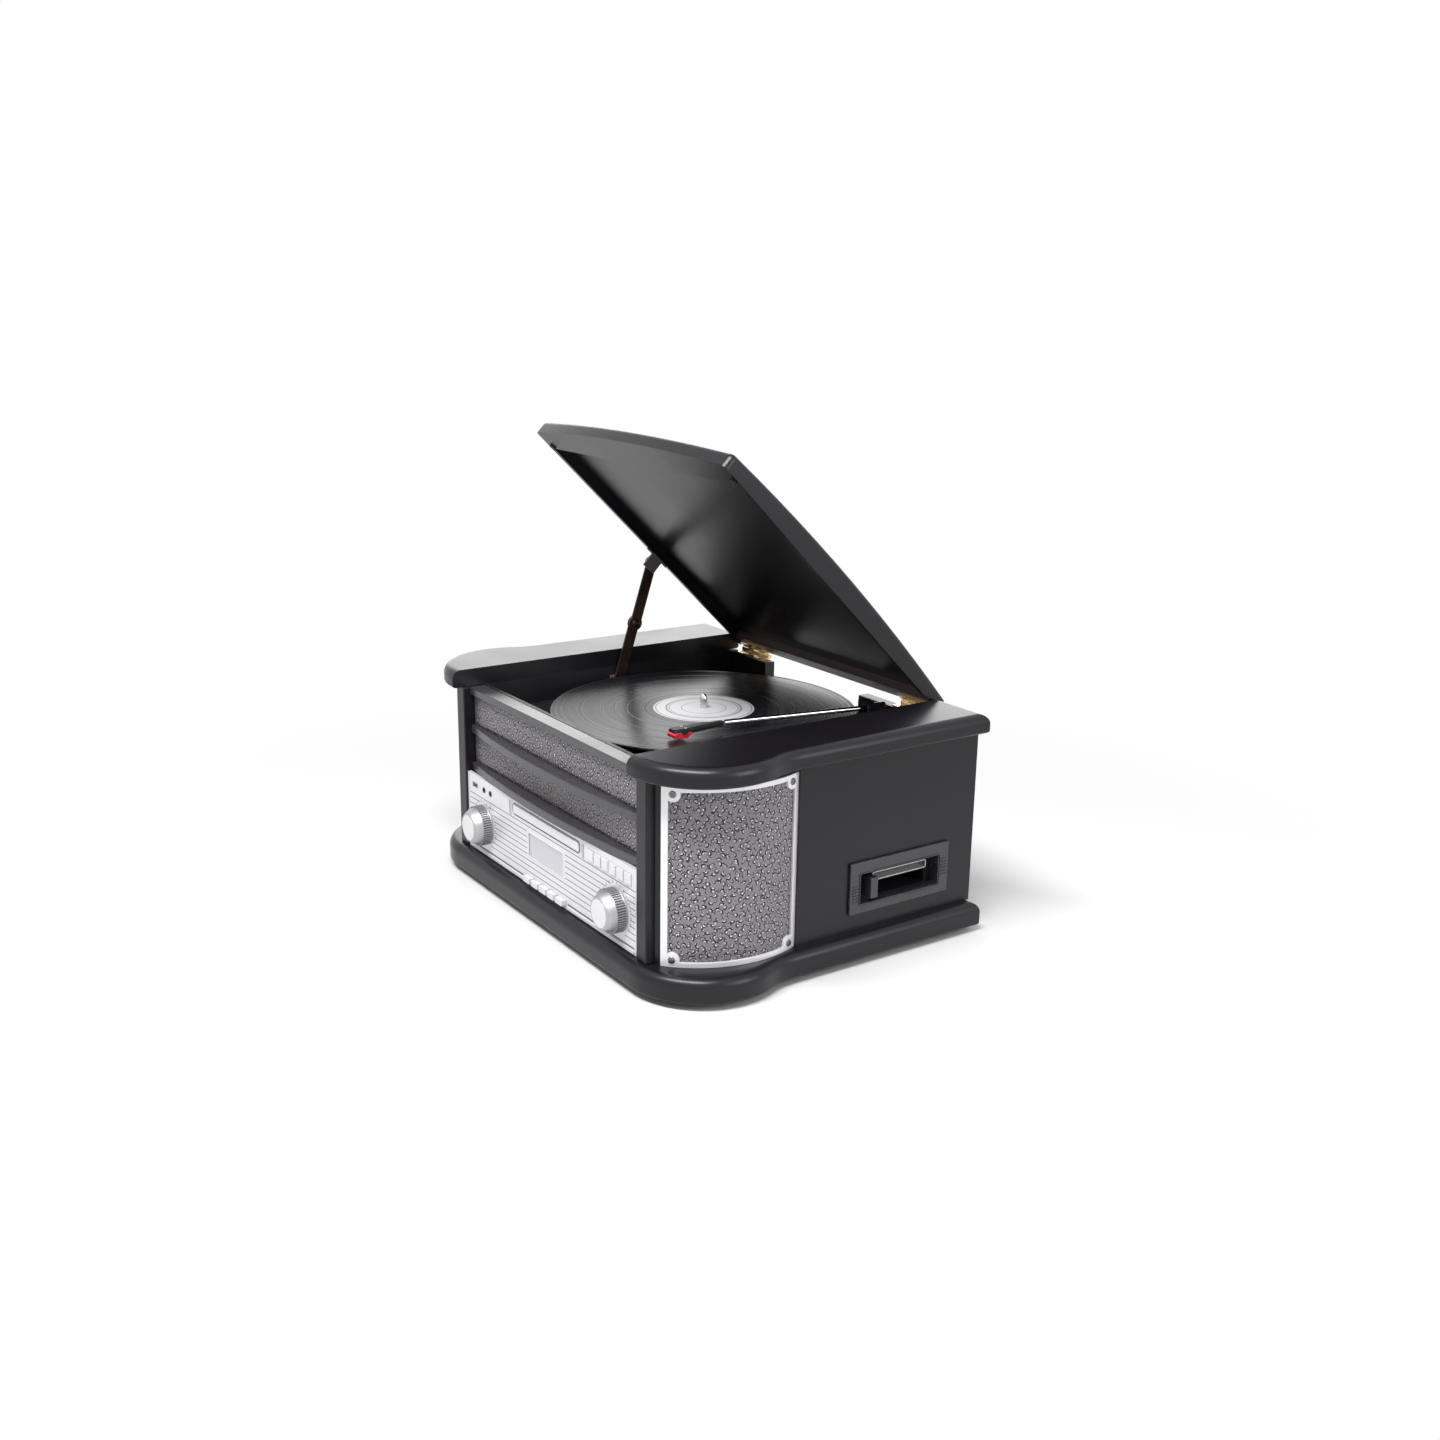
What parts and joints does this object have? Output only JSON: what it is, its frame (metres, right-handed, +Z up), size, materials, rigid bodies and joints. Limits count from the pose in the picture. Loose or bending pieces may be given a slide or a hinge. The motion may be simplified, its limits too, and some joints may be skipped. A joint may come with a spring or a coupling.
{
  "type": "retro record player",
  "caption": "Black cabinet record player with a hinged lid on a folding stay, tone arm and platter, radio and disc panel, side cassette slot and curved corner speakers.",
  "frame": {"origin": "centre of the object's box, on the surface that the feet stand on", "axes": "+Z up, -Y towards the front panel, +X towards the side with the cassette slot"},
  "size_m": [0.492, 0.368, 0.4617],
  "materials": {
    "black_wood": "satin black paint on fibreboard",
    "brown_wood": "dark brown painted batten",
    "grey_trim": "satin dark grey",
    "grille_cloth": "flecked grille cloth",
    "silver_frame": "silver moulding",
    "bright_screw": "bright plated",
    "silver_panel": "silver moulding",
    "display_glass": "clear pane over a grey display",
    "turned_aluminium": "brushed",
    "steel": "plain",
    "chrome_tube": "polished",
    "green_board": "laminate",
    "black_plastic": "moulded",
    "vinyl": "pressed",
    "red_plastic": "moulded",
    "black_rubber": "moulded",
    "brass": "polished",
    "bronze_metal": "dark bronze"
  },
  "bodies": {
    "cabinet": {"plinth_base": "black_wood", "rubber_feet": "black_rubber", "left_side_panel": "black_wood", "right_side_panel": "black_wood", "rear_panel": "black_wood", "left_top_wing": "black_wood", "right_top_wing": "black_wood", "front_pillars": "grey_trim", "front_top_rail": "grey_trim", "grille_bars": "grey_trim", "front_grille_cloths": "grille_cloth", "speaker_baffles": "black_wood", "speaker_frames": "silver_frame", "speaker_frame_screws": "bright_screw", "speaker_cloths": "grille_cloth", "speaker_drivers": "steel", "control_panel": "silver_panel", "display_window": "display_glass", "knob_controls": "steel", "circuit_board": "green_board", "cd_loader": "black_plastic", "turntable_deck": "black_plastic", "platter_bearing": "brass", "drive_motor": "steel", "drive_belt": "black_rubber", "tonearm_base": "black_plastic", "cassette_bezel": "black_plastic", "cassette_transport": "black_plastic", "mains_transformer": "steel", "rear_sockets": "black_plastic", "cabinet_hinge_leaves": "brass", "stay_wall_bracket": "bronze_metal"},
    "lid": {"lid_panel": "black_wood", "lid_rear_strip": "brown_wood", "lid_bumpers": "black_rubber", "lid_hinge_leaves": "brass", "stay_lid_bracket": "bronze_metal"},
    "stay_lower": {"stay_lower_arm": "bronze_metal"},
    "stay_upper": {"stay_upper_arm": "bronze_metal"},
    "platter": {"platter": "turned_aluminium", "platter_mat": "black_rubber", "record": "vinyl", "spindle": "steel"},
    "pulley": {"motor_pulley": "brass"},
    "tonearm_yoke": {"tonearm_gimbal": "black_plastic"},
    "tonearm": {"tonearm_tube": "chrome_tube", "headshell": "black_plastic", "stylus": "red_plastic"},
    "volume_knob": {"volume_knob": "turned_aluminium"},
    "tuning_knob": {"tuning_knob": "turned_aluminium"},
    "upper_keys": {"upper_key_comb": "silver_panel"},
    "cd_tray": {"cd_tray": "silver_panel"},
    "speed_selector": {"speed_selector": "black_plastic"},
    "cassette_door": {"cassette_door": "black_plastic"},
    "cassette_key": {"cassette_key": "black_plastic"},
    "lower_key_1": {"lower_key_1": "silver_panel"},
    "lower_key_2": {"lower_key_2": "silver_panel"},
    "lower_key_3": {"lower_key_3": "silver_panel"},
    "lower_key_4": {"lower_key_4": "silver_panel"},
    "lower_key_5": {"lower_key_5": "silver_panel"}
  },
  "joints": [
    {"name": "lid_hinge", "type": "hinge", "parent": "cabinet", "child": "lid", "pos_m": [0, 0.1735, 0.19825], "axis": [1, 0, 0], "range_deg": [0, 44.25]},
    {"name": "stay_wall_pivot", "type": "hinge", "parent": "cabinet", "child": "stay_lower", "pos_m": [-0.1643, 0.0123, 0.179], "axis": [1, 0, 0], "range_deg": [-68, 0]},
    {"name": "stay_lid_pivot", "type": "hinge", "parent": "lid", "child": "stay_upper", "pos_m": [-0.162, 0.05228, 0.30482], "axis": [1, 0, 0], "range_deg": [0, 59]},
    {"name": "platter_spin", "type": "hinge", "parent": "cabinet", "child": "platter", "pos_m": [-0.0035, 0.0145, 0.18], "axis": [0, 0, 1], "continuous": true},
    {"name": "pulley_spin", "type": "hinge", "parent": "cabinet", "child": "pulley", "pos_m": [-0.07105, 0.0535, 0.17], "axis": [0, 0, 1], "continuous": true},
    {"name": "tonearm_swing", "type": "hinge", "parent": "cabinet", "child": "tonearm_yoke", "pos_m": [0.103, 0.13658, 0.19], "axis": [0, 0, 1], "range_deg": [-20, 21]},
    {"name": "tonearm_lift", "type": "hinge", "parent": "tonearm_yoke", "child": "tonearm", "pos_m": [0.103, 0.13658, 0.196], "axis": [-0.9806, 0.1959, 0], "range_deg": [0, 2.5]},
    {"name": "volume_turn", "type": "hinge", "parent": "cabinet", "child": "volume_knob", "pos_m": [0.13, -0.175, 0.062], "axis": [0, -1, 0], "range_deg": [-150, 150]},
    {"name": "tuning_turn", "type": "hinge", "parent": "cabinet", "child": "tuning_knob", "pos_m": [-0.13, -0.175, 0.062], "axis": [0, -1, 0], "continuous": true},
    {"name": "upper_keys_press", "type": "slide", "parent": "cabinet", "child": "upper_keys", "axis": [0, 1, 0], "range_m": [0, 0.0008], "stiffness_N_per_m": 600},
    {"name": "cd_tray_slide", "type": "slide", "parent": "cabinet", "child": "cd_tray", "axis": [0, -1, 0], "range_m": [0, 0.118]},
    {"name": "speed_select", "type": "hinge", "parent": "cabinet", "child": "speed_selector", "pos_m": [0.14, 0.084, 0.172], "axis": [0, 0, 1], "range_deg": [-30, 30]},
    {"name": "cassette_door_swing", "type": "hinge", "parent": "cabinet", "child": "cassette_door", "pos_m": [0.2135, 0.087, 0.081], "axis": [0, 1, 0], "range_deg": [0, 70], "stiffness_Nm_per_rad": 0.01},
    {"name": "cassette_key_press", "type": "slide", "parent": "cabinet", "child": "cassette_key", "axis": [-1, 0, 0], "range_m": [0, 0.008], "stiffness_N_per_m": 300},
    {"name": "lower_key_1_press", "type": "slide", "parent": "cabinet", "child": "lower_key_1", "axis": [0, 1, 0], "range_m": [0, 0.0012], "stiffness_N_per_m": 400},
    {"name": "lower_key_2_press", "type": "slide", "parent": "cabinet", "child": "lower_key_2", "axis": [0, 1, 0], "range_m": [0, 0.0012], "stiffness_N_per_m": 400},
    {"name": "lower_key_3_press", "type": "slide", "parent": "cabinet", "child": "lower_key_3", "axis": [0, 1, 0], "range_m": [0, 0.0012], "stiffness_N_per_m": 400},
    {"name": "lower_key_4_press", "type": "slide", "parent": "cabinet", "child": "lower_key_4", "axis": [0, 1, 0], "range_m": [0, 0.0012], "stiffness_N_per_m": 400},
    {"name": "lower_key_5_press", "type": "slide", "parent": "cabinet", "child": "lower_key_5", "axis": [0, 1, 0], "range_m": [0, 0.0012], "stiffness_N_per_m": 400}
  ],
  "couplings": [
    {"joint": "stay_wall_pivot", "follows": "lid_hinge", "ratio": -1.5276},
    {"joint": "stay_lid_pivot", "follows": "lid_hinge", "ratio": 1.3242},
    {"joint": "pulley_spin", "follows": "platter_spin", "ratio": 10}
  ]
}
